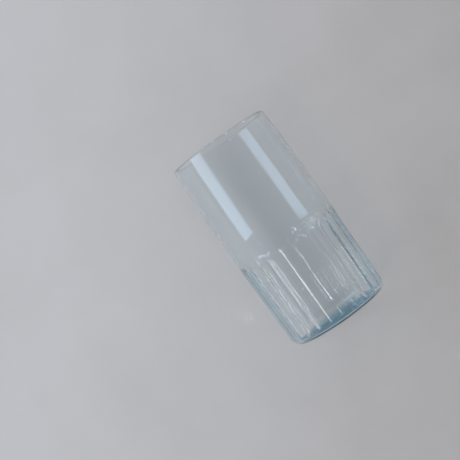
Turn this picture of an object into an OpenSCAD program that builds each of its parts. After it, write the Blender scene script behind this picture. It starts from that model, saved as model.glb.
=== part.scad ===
// Tall chai glass of pale blue glass. It is one blown-moulded piece: a smooth,
// slightly bellied upper half, a lower half of upright flutes with arched tops,
// a rounded heel, a floor that domes up inside and a shallow hollow under the base.
// The origin is at the centre of the foot, on the surface that it stands on.
// +Z runs up the axis to the rim.

/* [Body] */
// Height from the foot to the top of the rim
height = 115.5; // [95:0.5:150]
// Outside diameter at the belly, between the two halves
belly_d = 60.6; // [54:0.2:66]
// Height of the belly above the foot
belly_z = 70; // [60:1:90]
// Outside diameter at the rim
rim_d = 58.8; // [49:0.2:66]
// Outside diameter where the wall meets the heel
heel_d = 59.0; // [49:0.2:66]

/* [Wall and base] */
// Thickness of the wall
wall = 1.5; // [1:0.1:2.5]
// Thickness of the base at its edge
base = 1.5; // [1.2:0.1:5]
// Height by which the middle of the floor domes up above its edge
dome = 3.2; // [0.5:0.1:6]
// Outside radius of the rounded heel
heel_r = 5.5; // [3.5:0.1:9]
// Inside radius between the wall and the floor
floor_r = 3.0; // [2:0.1:8]
// Width of the level ring between that radius and the dome
floor_ring = 0.6; // [0.3:0.1:3]
// Width of the flat ring that the glass stands on
foot_w = 1.6; // [1:0.1:4]
// Depth of the hollow under the base
hollow = 0.9; // [0.3:0.1:1.2]

/* [Flutes] */
// Number of flutes round the glass
flutes = 24; // [16:1:32]
// Height of the arched tops of the flutes
flute_top = 51; // [35:1:55]
// Depth of a flute in the outside of the wall
flute_depth = 0.5; // [0.4:0.1:1.2]
// Share of that depth by which the wall bulges inwards behind a flute
bulge_share = 0.5; // [0.2:0.1:1]
// Radius of the hollow face of a flute
flute_r = 16; // [4:0.5:18]

/* [Hidden] */
$fn = 128;

// Clearance by which cutting shapes pass the faces that they cut
past = 1;
// Colour of the glass
glass = [0.70, 0.85, 0.92, 0.45];

belly_rad = belly_d / 2;
rim_rad = rim_d / 2;
heel_rad = heel_d / 2;
widest_rad = max(belly_rad, rim_rad, heel_rad);
foot_rad = heel_rad - heel_r;
hollow_rad = foot_rad - foot_w;
dome_rad = heel_rad - wall - floor_r - floor_ring;

// Radius of the arc that goes drop inwards over rise; it is less than 0 where the
// arc goes outwards
function swell(drop, rise) = (rise * rise + drop * drop) / (2 * drop);

lip_z = height - wall / 2;
// How far the wall draws in from the belly to the rim and to the heel
upper_drop = belly_rad - rim_rad;
lower_drop = belly_rad - heel_rad;
hollow_swell = swell(hollow, hollow_rad);
dome_swell = swell(dome, dome_rad);

// Outside radius of the wall below the belly, at height z
function wall_rad(z) =
    lower_drop == 0 ? belly_rad :
    let (arc = swell(lower_drop, belly_z - heel_r))
    belly_rad - arc + sign(arc) * sqrt(arc * arc - pow(belly_z - z, 2));

// The flutes lean with the wall, so that their depth stays the same
lean_foot = heel_r;
lean_top = flute_top;
lean = atan2(wall_rad(lean_top) - wall_rad(lean_foot), lean_top - lean_foot);
flute_axis = wall_rad(lean_foot) - flute_depth + flute_r;
arch = sqrt(pow(flute_r, 2) - pow(flute_r - flute_depth, 2));

// Part of the wall's section, from the axis out to an arc that starts upright at
// the belly and goes drop inwards over rise, drawn in by the offset
module swell_region(drop, rise, offset, low, high) {
    arc = drop == 0 ? 0 : swell(drop, rise);
    if (arc > 0)
        intersection() {
            swell_band(widest_rad + past, low, high);
            swell_circle(arc, offset);
        }
    else if (arc < 0)
        difference() {
            swell_band(widest_rad + past, low, high);
            swell_circle(arc, offset);
        }
    else
        swell_band(belly_rad - offset, low, high);
}

// Circle of the arc, drawn in by the offset
module swell_circle(arc, offset) {
    translate([belly_rad - arc, belly_z])
        circle(r = abs(arc - offset), $fn = 4096);
}

// Band from the axis out to a width, between two heights
module swell_band(width, low, high) {
    translate([0, low])
        square([width, high - low]);
}

// Section of the solid inside a surface that lies offset within the outside of
// the wall, with a rounded corner of radius corner on a floor at height floor_z
module filled_section(offset, floor_z, corner, top) {
    corner_x = heel_rad - offset - corner;
    swell_region(upper_drop, lip_z - belly_z, offset, belly_z, top);
    swell_region(lower_drop, belly_z - heel_r, offset, floor_z + corner, belly_z);
    translate([0, floor_z])
        square([corner_x, corner + past]);
    intersection() {
        translate([corner_x, floor_z + corner])
            circle(r = corner);
        translate([0, floor_z])
            square([corner_x + corner, corner]);
    }
}

// Round-headed upright rod that hollows one flute, grown by grow
module flute_rod(grow) {
    translate([flute_axis, 0, lean_foot])
        rotate([0, lean, 0])
            translate([0, 0, -lean_foot - past]) {
                rod = flute_top - arch + past;
                cylinder(r = flute_r + grow, h = rod);
                translate([0, 0, rod])
                    sphere(r = flute_r + grow);
            }
}

// Its children with the flutes from number i on cut out of them one by one, each
// grown by grow
module fluted(grow, i = 0) {
    if (i < flutes)
        difference() {
            fluted(grow, i + 1) children();
            rotate([0, 0, i * 360 / flutes])
                flute_rod(grow);
        }
    else
        children();
}

// Ball whose top stands at height top
module ball_below(top, radius) {
    translate([0, 0, top - radius])
        sphere(r = radius, $fn = 1024);
}

// Outside of the glass, with the flutes and the hollow under the base
module outside() {
    difference() {
        fluted(0)
            rotate_extrude()
                filled_section(0, 0, heel_r, lip_z);
        ball_below(hollow, hollow_swell);
    }
}

// Inside of the glass: the wall bulges inwards behind each flute, and the floor
// domes up
module inside() {
    difference() {
        fluted(wall - flute_depth * (1 - bulge_share))
            rotate_extrude()
                filled_section(wall, base, floor_r, height + past);
        ball_below(base + dome, dome_swell);
    }
}

// Rounded lip on top of the wall
module lip() {
    translate([0, 0, lip_z])
        rotate_extrude()
            translate([rim_rad - wall / 2, 0])
                circle(d = wall);
}

// The whole glass
module tumbler() {
    color(glass) {
        difference() {
            outside();
            inside();
        }
        lip();
    }
}

tumbler();
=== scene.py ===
"""Looks of a tall chai glass of pale blue glass that lies on a plain pale table.

The glass stands on +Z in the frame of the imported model. The table is an upright
plane that touches the back of it, and the camera looks at the plane, so the
glass seems to lie on the table, as it does in the photograph.
"""

import math

import bpy
import numpy as np
from mathutils import Matrix, Vector


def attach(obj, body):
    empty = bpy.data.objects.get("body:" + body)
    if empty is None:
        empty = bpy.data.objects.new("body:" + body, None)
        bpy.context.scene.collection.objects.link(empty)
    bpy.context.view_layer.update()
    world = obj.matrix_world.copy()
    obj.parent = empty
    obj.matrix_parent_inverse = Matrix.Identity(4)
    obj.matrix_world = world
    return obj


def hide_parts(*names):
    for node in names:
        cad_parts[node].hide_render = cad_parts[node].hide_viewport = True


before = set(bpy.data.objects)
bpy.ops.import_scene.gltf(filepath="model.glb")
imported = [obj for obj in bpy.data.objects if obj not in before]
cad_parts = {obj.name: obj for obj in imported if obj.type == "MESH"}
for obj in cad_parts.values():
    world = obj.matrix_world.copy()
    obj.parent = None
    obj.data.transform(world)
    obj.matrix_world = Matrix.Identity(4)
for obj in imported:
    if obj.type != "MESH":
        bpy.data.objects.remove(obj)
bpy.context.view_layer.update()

# ---------------------------------------------------------------- sizes, in metres

HEIGHT = 0.1155
BELLY_R = 0.0303
BELLY_Z = 0.070
# Radii of the wall's bend above and below the belly
UPPER_SWELL = 1.088
LOWER_SWELL = 2.600
WALL = 0.0015
# Floor: thickness at its edge, rise of its dome and the power that shapes the dome
BASE = 0.0015
DOME = 0.0032
DOME_SHAPE = 0.8
# Heel: its own radius, and that of the wall where it meets the heel
HEEL_R = 0.0055
HEEL_WALL_R = 0.0295
FLOOR_R = 0.0030
FOOT_W = 0.0016
HOLLOW = 0.0009
# Height of the hollow's edge
HOLLOW_EDGE = 0.00001
FOOT_R = HEEL_WALL_R - HEEL_R
HOLLOW_R = FOOT_R - FOOT_W

# Shallow waist just above the flutes: its depth and height, and how far it
# reaches up and down
WAIST = 0.00003
WAIST_Z = 0.0544
WAIST_UP = 0.009
WAIST_DOWN = 0.0025

# Flutes: their number, depth, the height of the arched tops and of the arch
FLUTES = 24
FLUTE_DEPTH = 0.00038
FLUTE_TOP = 0.0510
ARCH = 0.0047
# Bead that runs round the arches: its rise, and its place and width as shares of
# the half width
BEAD = 0.00014
BEAD_PLACE = 1.12
BEAD_WIDTH = 0.18
# Share of the half width at which the hollow turns over into the crest, and how
# flat the hollow is: 2 is a round one
CREST = 0.72
FLATNESS = 12.0
# Share of the depth that the inside of the wall follows
FOLLOW = 0.5

# Absorption of the glass: colour that passes, and strength
TINT = (0.28, 0.66, 0.78, 1.0)
TINT_DENSITY = 44.0

# Steps round the glass in one flute, and how closely they crowd to its crests: at 1
# they don't
STEPS = 32
CROWD = 0.6
# Rows of the mesh in each stretch of the section
HOLLOW_ROWS = 22
HEEL_ROWS = 18
LOW_WALL_ROWS = 14
OUTER_ARCH_ROWS = 70
INNER_ARCH_ROWS = 60
HIGH_WALL_ROWS = 24
NEAR_LIP_ROWS = 12
LIP_ROWS = 15
CORNER_ROWS = 14
FLOOR_ROWS = 60
# How far a row keeps from a middle or an edge beside it
EDGE_MARGIN = 0.0004
# Stretches of close rows: their reach below and above the arches, the gaps under
# and over them, and the height of the one below the lip
ARCH_BELOW = 0.0018
ARCH_ABOVE = 0.0030
ARCH_GAP = 0.0002
BAND_GAP = 0.001
LIP_BAND = 0.005

# ---------------------------------------------------------------- the photograph

# The camera's place, in units of UNIT, and its focal length in pixels of the
# 460 pixel frame. All of it was found from the outline of the glass.
UNIT = 0.030
CAMERA_PLACE = (-0.744, -20.0, 2.429)
FOCAL_PX = 1108.0
FRAME_PX = 460.0
SENSOR_MM = 36.0
ROLL = math.radians(35.26)
TABLE_Y = 0.03036

# Table top: its colour to the left in the picture, near the window, and to the right; the
# darker right end is painted shade, the falloff of the window's light
TABLE_LIT_SIDE = (0.497, 0.485, 0.488, 1.0)
TABLE_PAINTED_SHADE = (0.350, 0.334, 0.324, 1.0)
# Where the painted shade starts and stops deepening the table, in metres across the
# picture, how far it goes, and how much the table's random mottling adds
TABLE_SHADE_SPAN = (-0.16, 0.12)
TABLE_SHADE_SHARE = 0.8
TABLE_MOTTLE = 0.4

# Room: the light that it gives, what the glass mirrors of it low down and overhead,
# the backdrop that is seen past the table, and its share in what shows through the glass
ROOM_LIGHT = (0.80, 0.80, 0.82, 1.0)
ROOM_LOW = (0.42, 0.43, 0.46, 1.0)
ROOM_HIGH = (0.06, 0.06, 0.06, 1.0)
BACKDROP = (0.46, 0.46, 0.47, 1.0)
THROUGH_GLASS = 0.6

# Window: its bearing towards the rim end, its distance and sides in metres, and
# the foot, top and brightness share of each of its bands
WINDOW_BEARING = 33.0
WINDOW_DISTANCE = 1.8
WINDOW_SIDES = (-1.225, 1.2)
WINDOW_BANDS = ((0.456, 1.52, 1.0), (1.52, 1.62, 0.75), (1.62, 1.72, 0.5), (1.72, 1.82, 0.25))
WINDOW_RADIANCE = 3.0
WINDOW_COLOUR = (0.62, 0.81, 1.0)

# Small lamps: the tilt of each to the left from straight over the table, its lean
# to the base end and the radiance of its face, and their size in metres
LAMPS = ((28.0, 0.135, 15.0), (82.0, 0.135, 15.0), (-8.0, 0.50, 8.0), (-40.0, 0.50, 8.0))
LAMP_SIZE = (0.20, 0.34)
LAMP_DISTANCE = 2.0
LAMP_COLOUR = (1.0, 0.97, 0.95)

# Most times that a ray is followed through the glass, and off the table
GLASS_BOUNCES = 40
TABLE_BOUNCES = 4

# The camera, the table and the lamps are turned about the glass, so that the
# flutes meet the camera as they do in the photograph.
TURN = Matrix.Rotation(math.radians(21.0), 4, "Z")


def placed(rotation_rows, point):
    """World matrix of an object whose local axes and place are given before the turn."""
    axes = Matrix(rotation_rows).transposed().to_4x4()
    return TURN @ Matrix.Translation(Vector(point)) @ axes


def link(obj):
    """Put the object in the scene."""
    bpy.context.scene.collection.objects.link(obj)
    return obj


# ---------------------------------------------------------------- the glass

def wall_radius(z):
    """Outside radius of the wall without its flutes."""
    swell = np.where(z > BELLY_Z, UPPER_SWELL, LOWER_SWELL)
    reach = np.where(z > WAIST_Z, WAIST_UP, WAIST_DOWN)
    waist = WAIST * np.exp(-((z - WAIST_Z) / reach) ** 2)
    return BELLY_R - (z - BELLY_Z) ** 2 / (2 * swell) - waist


def flute_cut(theta, z):
    """How deep the flutes cut into the wall, less the bead round their arches."""
    across = np.abs(((theta / (2 * math.pi) * FLUTES + 0.5) % 1.0) - 0.5) * 2
    up = np.clip((z - (FLUTE_TOP - ARCH)) / ARCH, 0, None)
    reach = np.hypot(across, up)
    bead = BEAD * np.minimum(up, 1.0) * np.exp(-((reach - BEAD_PLACE) / BEAD_WIDTH) ** 2)
    return FLUTE_DEPTH * flute_share(np.minimum(reach, 1.0)) - bead


def flute_share(reach):
    """Share of the depth at this share of the way from the middle to the crest."""
    turn = CREST ** (FLATNESS - 1)
    fall = 1 / (turn * (CREST + FLATNESS * (1 - CREST) / 2))
    hollow = 1 - fall * reach**FLATNESS
    crest = fall * FLATNESS * turn / 2 * (1 - reach) ** 2 / (1 - CREST)
    return np.where(reach < CREST, hollow, crest)


def quarter(count):
    """Angles of a quarter turn, without its first one."""
    return np.linspace(0, math.pi / 2, count + 1)[1:]


def wall_heights(foot, arch_rows):
    """Heights of the wall's rows from foot up to the lip, close over the arches."""
    low = FLUTE_TOP - ARCH - ARCH_BELOW
    high = FLUTE_TOP + ARCH_ABOVE
    band = HEIGHT - LIP_BAND
    return np.concatenate([
        np.linspace(foot, low - ARCH_GAP, LOW_WALL_ROWS),
        np.linspace(low, high, arch_rows),
        np.linspace(high + BAND_GAP, band - BAND_GAP, HIGH_WALL_ROWS),
        np.linspace(band, HEIGHT - WALL / 2, NEAR_LIP_ROWS)])


def outer_rows():
    """Radius, height and depth weight of each row, from under the base to the lip."""
    rows = [(r, HOLLOW * (1 - (r / HOLLOW_R) ** 2), 0.0)
            for r in np.linspace(EDGE_MARGIN, HOLLOW_R - EDGE_MARGIN, HOLLOW_ROWS)]
    rows.append((HOLLOW_R, HOLLOW_EDGE, 0.0))
    rows.append((FOOT_R - EDGE_MARGIN, 0.0, 0.0))
    rows.append((FOOT_R, 0.0, 0.0))
    for a in quarter(HEEL_ROWS):
        r = FOOT_R + HEEL_R * math.sin(a)
        z = HEEL_R * (1 - math.cos(a))
        rows.append((r, z, max(0.0, (r - HEEL_WALL_R + FLUTE_DEPTH) / FLUTE_DEPTH)))
    heights = wall_heights(HEEL_R, OUTER_ARCH_ROWS)[1:]
    rows += [(float(wall_radius(z)), z, 1.0) for z in heights]
    return rows


def lip_rows():
    """Rows of the rounded lip."""
    lip_z = HEIGHT - WALL / 2
    middle = float(wall_radius(lip_z)) - WALL / 2
    angles = np.linspace(0, math.pi, LIP_ROWS)[1:-1]
    return [(middle + WALL / 2 * math.cos(a), lip_z + WALL / 2 * math.sin(a), 0.0)
            for a in angles]


def inner_rows():
    """Rows from the lip down the inside of the wall to the middle of the floor."""
    low = BASE + FLOOR_R
    heights = wall_heights(low, INNER_ARCH_ROWS)[::-1]
    rows = [(float(wall_radius(z)) - WALL, z, FOLLOW) for z in heights]
    corner = rows[-1][0]
    for a in quarter(CORNER_ROWS):
        r = corner - FLOOR_R * (1 - math.cos(a))
        z = low - FLOOR_R * math.sin(a)
        rows.append((r, z, FOLLOW * max(0.0, (r - corner + FLUTE_DEPTH) / FLUTE_DEPTH)))
    flat = corner - FLOOR_R
    rows += [(r, BASE + DOME * (1 - (r / flat) ** 2) ** DOME_SHAPE, 0.0)
             for r in flat * np.sin(np.linspace(math.pi / 2, 0.02, FLOOR_ROWS))[1:]]
    return rows


def closed_sweep(name, rows):
    """Mesh of the rows swept round the axis, closed at both ends."""
    around = FLUTES * STEPS
    share = np.arange(STEPS) / STEPS * 2 - 1
    share = np.sign(share) * np.abs(share) ** CROWD / 2
    theta = (np.arange(FLUTES)[:, None] + share).ravel() / FLUTES * 2 * math.pi
    radius, height, weight = (np.array(column)[:, None] for column in zip(*rows))
    r = radius - weight * flute_cut(theta[None, :], height)
    points = np.stack([r * np.sin(theta), -r * np.cos(theta),
                       np.broadcast_to(height, r.shape)], axis=-1)
    count = len(rows)
    row, step = np.meshgrid(np.arange(count - 1), np.arange(around), indexing="ij")
    after = (step + 1) % around
    quads = np.stack([row * around + step, row * around + after,
                      (row + 1) * around + after, (row + 1) * around + step], axis=-1)
    faces = quads.reshape(-1, 4).tolist()
    faces.append(list(range(around - 1, -1, -1)))
    faces.append(list(range((count - 1) * around, count * around)))
    mesh = bpy.data.meshes.new(name)
    mesh.from_pydata(points.reshape(-1, 3).tolist(), [], faces)
    mesh.polygons.foreach_set("use_smooth", [True] * len(mesh.polygons))
    mesh.update()
    return link(bpy.data.objects.new(name, mesh))


# ---------------------------------------------------------------- materials

def new_material(name):
    """A material with nodes, its node tree and its shader."""
    material = bpy.data.materials.new(name)
    material.use_nodes = True
    return material, material.node_tree, material.node_tree.nodes["Principled BSDF"]


def add_node(tree, kind, settings=(), **values):
    """Node with its properties from settings and its sockets' values by name."""
    node = tree.nodes.new(kind)
    for key, value in settings:
        setattr(node, key, value)
    for key, value in values.items():
        node.inputs[key.replace("_", " ")].default_value = value
    return node


def glass_material():
    """Clear pale blue glass: faint waves in its surface, and a little wear."""
    material, tree, shader = new_material("pale_blue_glass")
    links = tree.links
    place = add_node(tree, "ShaderNodeTexCoord")
    waves = add_node(tree, "ShaderNodeTexNoise", Scale=70.0, Detail=1.0)
    fine = add_node(tree, "ShaderNodeTexNoise", Scale=900.0, Detail=2.0)
    links.new(place.outputs["Object"], waves.inputs["Vector"])
    links.new(place.outputs["Object"], fine.inputs["Vector"])
    wave_bump = add_node(tree, "ShaderNodeBump", Strength=0.03, Distance=0.0002)
    fine_bump = add_node(tree, "ShaderNodeBump", Strength=0.05, Distance=0.00002)
    links.new(waves.outputs["Fac"], wave_bump.inputs["Height"])
    links.new(fine.outputs["Fac"], fine_bump.inputs["Height"])
    links.new(wave_bump.outputs["Normal"], fine_bump.inputs["Normal"])
    links.new(fine_bump.outputs["Normal"], shader.inputs["Normal"])
    wear = add_node(tree, "ShaderNodeMapRange", From_Min=0.35, From_Max=0.75,
                    To_Min=0.0, To_Max=0.03)
    links.new(fine.outputs["Fac"], wear.inputs["Value"])
    links.new(wear.outputs["Result"], shader.inputs["Roughness"])
    shader.inputs["Base Color"].default_value = (1.0, 1.0, 1.0, 1.0)
    shader.inputs["IOR"].default_value = 1.48
    shader.inputs["Transmission Weight"].default_value = 1.0
    tint = add_node(tree, "ShaderNodeVolumeAbsorption",
                    Color=TINT, Density=TINT_DENSITY)
    links.new(tint.outputs["Volume"], tree.nodes["Material Output"].inputs["Volume"])
    return material


def table_material():
    """Matt pale grey table top, seen from its front only, with painted shade that darkens it
    towards the right, away from the window.
    """
    material, tree, shader = new_material("pale_table")
    links = tree.links
    place = add_node(tree, "ShaderNodeTexCoord")
    noise = add_node(tree, "ShaderNodeTexNoise", Scale=22.0, Detail=3.0)
    links.new(place.outputs["Object"], noise.inputs["Vector"])
    # Painted shade: the table darkens towards the right of the picture, away from the window;
    # the noise added on top is random mottling of the table's tone.
    across = add_node(tree, "ShaderNodeVectorMath", [("operation", "DOT_PRODUCT")])
    across.inputs[1].default_value = (math.cos(ROLL), 0, -math.sin(ROLL))
    links.new(place.outputs["Object"], across.inputs[0])
    fall = add_node(tree, "ShaderNodeMapRange", From_Min=TABLE_SHADE_SPAN[0],
                    From_Max=TABLE_SHADE_SPAN[1], To_Min=0.0, To_Max=TABLE_SHADE_SHARE)
    links.new(across.outputs["Value"], fall.inputs["Value"])
    mottle_and_shade = add_node(tree, "ShaderNodeMath", [("operation", "MULTIPLY_ADD")])
    mottle_and_shade.inputs[1].default_value = TABLE_MOTTLE
    links.new(noise.outputs["Fac"], mottle_and_shade.inputs[0])
    links.new(fall.outputs["Result"], mottle_and_shade.inputs[2])
    tone_and_shade = add_node(tree, "ShaderNodeValToRGB")
    tone_and_shade.color_ramp.elements[0].color = TABLE_LIT_SIDE
    tone_and_shade.color_ramp.elements[1].color = TABLE_PAINTED_SHADE
    links.new(mottle_and_shade.outputs["Value"], tone_and_shade.inputs["Fac"])
    links.new(tone_and_shade.outputs["Color"], shader.inputs["Base Color"])
    shader.inputs["Roughness"].default_value = 0.8
    shader.inputs["Specular IOR Level"].default_value = 0.2
    clear = add_node(tree, "ShaderNodeBsdfTransparent")
    facing = add_node(tree, "ShaderNodeNewGeometry")
    side = add_node(tree, "ShaderNodeMixShader")
    links.new(facing.outputs["Backfacing"], side.inputs["Fac"])
    links.new(shader.outputs["BSDF"], side.inputs[1])
    links.new(clear.outputs["BSDF"], side.inputs[2])
    links.new(side.outputs["Shader"], tree.nodes["Material Output"].inputs["Surface"])
    return material


# ---------------------------------------------------------------- table, world, lamps

def make_table(half=3.0):
    """Square table top that reaches half its side each way."""
    mesh = bpy.data.meshes.new("table_top")
    corners = [(-half, 0, -half), (half, 0, -half), (half, 0, half), (-half, 0, half)]
    mesh.from_pydata(corners, [], [(0, 1, 2, 3)])
    mesh.materials.append(table_material())
    table = link(bpy.data.objects.new("table_top", mesh))
    table.matrix_world = TURN @ Matrix.Translation(Vector((0, TABLE_Y, 0)))


def make_world():
    """Pale room: it lights the table, and the glass mirrors it darker than that light.

    A plain backdrop stands in for it where the camera looks past the table.
    """
    world = bpy.data.worlds.new("room")
    world.use_nodes = True
    bpy.context.scene.world = world
    tree = world.node_tree
    light = tree.nodes["Background"]
    light.inputs["Color"].default_value = ROOM_LIGHT
    place = add_node(tree, "ShaderNodeTexCoord")
    above = add_node(tree, "ShaderNodeVectorMath", [("operation", "DOT_PRODUCT")])
    above.inputs[1].default_value = TURN.to_3x3() @ Vector((0, -1, 0))
    tree.links.new(place.outputs["Generated"], above.inputs[0])
    height = add_node(tree, "ShaderNodeValToRGB")
    height.color_ramp.elements[0].color = ROOM_LOW
    height.color_ramp.elements[1].color = ROOM_HIGH
    tree.links.new(above.outputs["Value"], height.inputs["Fac"])
    seen = add_node(tree, "ShaderNodeBackground")
    tree.links.new(height.outputs["Color"], seen.inputs["Color"])
    backdrop = add_node(tree, "ShaderNodeBackground", Color=BACKDROP)
    path = add_node(tree, "ShaderNodeLightPath")
    looked = add_node(tree, "ShaderNodeMath", [("operation", "MULTIPLY_ADD")])
    tree.links.new(path.outputs["Is Transmission Ray"], looked.inputs[0])
    looked.inputs[1].default_value = THROUGH_GLASS
    tree.links.new(path.outputs["Is Camera Ray"], looked.inputs[2])
    direct = add_node(tree, "ShaderNodeMixShader")
    tree.links.new(looked.outputs["Value"], direct.inputs["Fac"])
    tree.links.new(seen.outputs["Background"], direct.inputs[1])
    tree.links.new(backdrop.outputs["Background"], direct.inputs[2])
    once = add_node(tree, "ShaderNodeMath", [("operation", "MINIMUM")])
    once.inputs[1].default_value = 1.0
    mix = add_node(tree, "ShaderNodeMixShader")
    tree.links.new(path.outputs["Diffuse Depth"], once.inputs[0])
    tree.links.new(once.outputs["Value"], mix.inputs["Fac"])
    tree.links.new(direct.outputs["Shader"], mix.inputs[1])
    tree.links.new(light.outputs["Background"], mix.inputs[2])
    tree.links.new(mix.outputs["Shader"], tree.nodes["World Output"].inputs["Surface"])


def area_lamp(name, size, radiance, colour):
    """Rectangular lamp whose face has this radiance."""
    lamp = bpy.data.lights.new(name, "AREA")
    lamp.shape = "RECTANGLE"
    lamp.size, lamp.size_y = size
    lamp.energy = radiance * math.pi * size[0] * size[1]
    lamp.color = colour
    return link(bpy.data.objects.new(name, lamp))


def make_window():
    """The window to the left of the table: soft daylight that fades to its top."""
    bearing = math.radians(WINDOW_BEARING)
    left, right = WINDOW_SIDES
    out = Vector((-math.cos(bearing), 0, math.sin(bearing)))
    side = Vector((math.sin(bearing), 0, math.cos(bearing)))
    up = Vector((0, -1, 0))
    foot = Vector((0, UNIT, HEIGHT / 2)) + out * WINDOW_DISTANCE
    for low, high, share in WINDOW_BANDS:
        centre = foot + side * (left + right) / 2 + up * (low + high) / 2
        lamp = area_lamp(f"window_{share:.2f}", (right - left, high - low),
                         WINDOW_RADIANCE * share, WINDOW_COLOUR)
        lamp.matrix_world = placed((side, out.cross(side), out), centre)


def make_small_lamp(number, tilt, lean, radiance):
    """A small soft lamp towards the base end, which lights the flutes or their arches."""
    out = Vector((-math.sin(tilt), -math.cos(tilt), -lean)).normalized()
    side = Vector((math.cos(tilt), -math.sin(tilt), 0))
    centre = Vector((0, 0, HEIGHT / 3)) + out * LAMP_DISTANCE
    lamp = area_lamp(f"small_lamp_{number}", LAMP_SIZE, radiance, LAMP_COLOUR)
    lamp.matrix_world = placed((side, out.cross(side), out), centre)


def make_camera():
    """The photograph's camera: no tilt against the glass, only a roll."""
    data = bpy.data.cameras.new("photo_camera")
    data.sensor_width = SENSOR_MM
    data.lens = FOCAL_PX / FRAME_PX * SENSOR_MM
    data.clip_start = 0.01
    camera = link(bpy.data.objects.new("photo_camera", data))
    right = Vector((math.cos(ROLL), 0, -math.sin(ROLL)))
    up = Vector((math.sin(ROLL), 0, math.cos(ROLL)))
    camera.matrix_world = placed((right, up, right.cross(up)),
                                 Vector(CAMERA_PLACE) * UNIT)
    bpy.context.scene.camera = camera


# ---------------------------------------------------------------- the scene

glass = closed_sweep("chai_glass", outer_rows() + lip_rows() + inner_rows())
glass.data.materials.append(glass_material())
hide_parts("tumbler")
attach(glass, "root")

make_table()
make_world()
make_window()
for lamp_number, (lamp_tilt, lamp_lean, lamp_radiance) in enumerate(LAMPS):
    make_small_lamp(lamp_number, math.radians(lamp_tilt), lamp_lean, lamp_radiance)
make_camera()

cycles = bpy.context.scene.cycles
cycles.max_bounces = GLASS_BOUNCES
cycles.transmission_bounces = GLASS_BOUNCES
cycles.glossy_bounces = GLASS_BOUNCES
cycles.diffuse_bounces = TABLE_BOUNCES
cycles.blur_glossy = 0.0
bpy.context.scene.view_settings.view_transform = "Standard"
